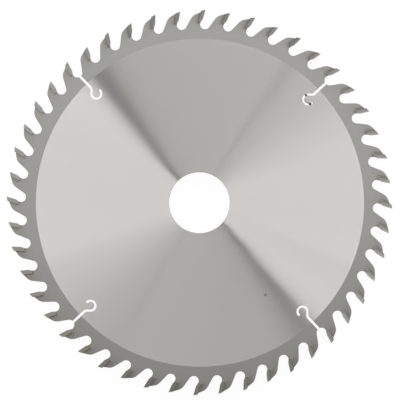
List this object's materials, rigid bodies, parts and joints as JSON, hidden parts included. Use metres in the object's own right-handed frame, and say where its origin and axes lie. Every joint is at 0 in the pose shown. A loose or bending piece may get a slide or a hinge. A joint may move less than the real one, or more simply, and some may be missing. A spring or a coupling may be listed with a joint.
{
  "type": "circular saw blade",
  "caption": "Flat round saw blade with hooked teeth, brazed carbide tips bevelled by turns, hook-ended expansion slots and a central arbor bore, for sawing board and sheet.",
  "frame": {"origin": "centre of the arbor bore at the middle of the plate's thickness", "axes": "+Z along the arbor axis, towards the face from which the teeth point clockwise; +Y through the cutting edge of the first tooth"},
  "size_m": [0.19, 0.19, 0.0026],
  "materials": {
    "plate_steel": "ground in circles, with a blasted rim",
    "carbide": "finely ground",
    "braze": "as flowed, heat-tinted"
  },
  "bodies": {
    "root": {"blade_body": "plate_steel", "tip_01": "carbide", "tip_02": "carbide", "tip_03": "carbide", "tip_04": "carbide", "tip_05": "carbide", "tip_06": "carbide", "tip_07": "carbide", "tip_08": "carbide", "tip_09": "carbide", "tip_10": "carbide", "tip_11": "carbide", "tip_12": "carbide", "tip_13": "carbide", "tip_14": "carbide", "tip_15": "carbide", "tip_16": "carbide", "tip_17": "carbide", "tip_18": "carbide", "tip_19": "carbide", "tip_20": "carbide", "tip_21": "carbide", "tip_22": "carbide", "tip_23": "carbide", "tip_24": "carbide", "tip_25": "carbide", "tip_26": "carbide", "tip_27": "carbide", "tip_28": "carbide", "tip_29": "carbide", "tip_30": "carbide", "tip_31": "carbide", "tip_32": "carbide", "tip_33": "carbide", "tip_34": "carbide", "tip_35": "carbide", "tip_36": "carbide", "tip_37": "carbide", "tip_38": "carbide", "tip_39": "carbide", "tip_40": "carbide", "tip_41": "carbide", "tip_42": "carbide", "tip_43": "carbide", "tip_44": "carbide", "tip_45": "carbide", "tip_46": "carbide", "tip_47": "carbide", "tip_48": "carbide", "braze_seams": "braze"}
  },
  "joints": []
}
